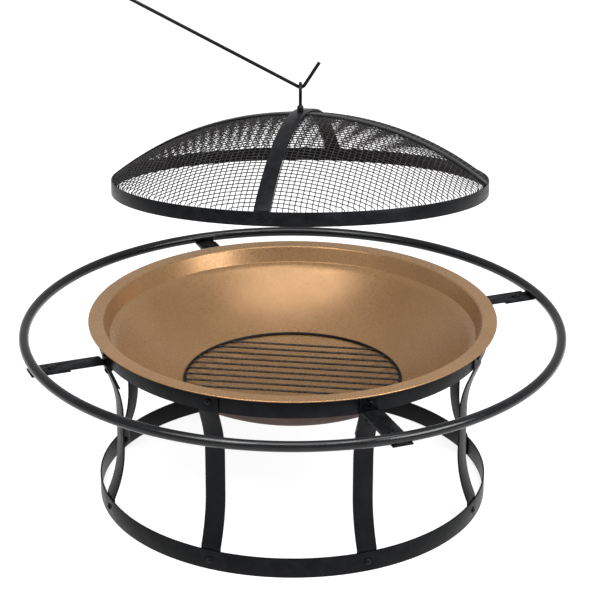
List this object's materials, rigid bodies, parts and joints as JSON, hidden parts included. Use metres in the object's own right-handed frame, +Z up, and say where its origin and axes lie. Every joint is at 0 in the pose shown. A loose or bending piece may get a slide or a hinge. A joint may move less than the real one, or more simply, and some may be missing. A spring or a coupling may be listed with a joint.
{
  "type": "fire pit",
  "caption": "Round fire pit: lift-out copper bowl on a flat-bar stand with a tube hand rail, a wire grate in the bowl, and a domed mesh spark screen hanging from a poker.",
  "frame": {"origin": "on the floor, on the stand's vertical axis", "axes": "+Z up, -Y towards the front (where the lifted screen's edge is highest), +X to the right"},
  "size_m": [1.02, 1.02, 1.0018],
  "materials": {
    "powder_coat": "satin black powder coat with a fine texture",
    "rail_coat": "glossier black powder coat on bent tube",
    "black_fasteners": "black oxide with a little bare steel on the edges",
    "copper_enamel": "satin metallic copper paint, fine flake",
    "grate_wire": "matt black heat-proof paint",
    "mesh": "satin black paint on woven wire",
    "poker_steel": "gloss black paint on round rod"
  },
  "bodies": {
    "stand": {"floor_band": "powder_coat", "support_band": "powder_coat", "plain_leg_1": "powder_coat", "plain_leg_2": "powder_coat", "plain_leg_3": "powder_coat", "plain_leg_4": "powder_coat", "arm_leg_1": "powder_coat", "arm_leg_2": "powder_coat", "arm_leg_3": "powder_coat", "arm_leg_4": "powder_coat", "hanger_1": "powder_coat", "hanger_2": "powder_coat", "hanger_3": "powder_coat", "hanger_4": "powder_coat", "rail_bracket_1": "powder_coat", "rail_bracket_2": "powder_coat", "rail_bracket_3": "powder_coat", "rail_bracket_4": "powder_coat", "rail_tube_1": "rail_coat", "rail_tube_2": "rail_coat", "rail_tube_3": "rail_coat", "rail_tube_4": "rail_coat", "foot_bolts": "black_fasteners", "foot_nuts": "black_fasteners", "band_bolts": "black_fasteners", "band_nuts": "black_fasteners", "hanger_bolts": "black_fasteners", "hanger_nuts": "black_fasteners", "rail_bolts": "black_fasteners", "rail_nuts": "black_fasteners"},
    "bowl": {"bowl": "copper_enamel"},
    "grate": {"grate_ring": "grate_wire", "grate_bars": "grate_wire"},
    "screen": {"screen_band": "powder_coat", "screen_mesh": "mesh", "strap_lower": "powder_coat", "strap_upper": "powder_coat", "eye_bolt": "black_fasteners", "eye_ferrule": "black_fasteners", "eye_washer": "black_fasteners", "eye_nut": "black_fasteners"},
    "poker": {"poker": "poker_steel"}
  },
  "joints": [
    {"name": "bowl_lift", "type": "slide", "parent": "stand", "child": "bowl", "axis": [0, 0, 1], "range_m": [0, 0.25]},
    {"name": "grate_lift", "type": "slide", "parent": "bowl", "child": "grate", "axis": [0, 0, 1], "range_m": [0, 0.18]},
    {"name": "poker_lift", "type": "slide", "parent": "bowl", "child": "poker", "axis": [0.0456, 0, 0.999], "range_m": [-0.2852, 0.05]},
    {"name": "screen_swing", "type": "hinge", "parent": "poker", "child": "screen", "pos_m": [0.013, 0, 0.7947], "axis": [1, 0, 0], "range_deg": [-1.73, 9.72]}
  ],
  "couplings": [
    {"joint": "screen_swing", "follows": "poker_lift", "rad_per_m": -0.59362}
  ]
}
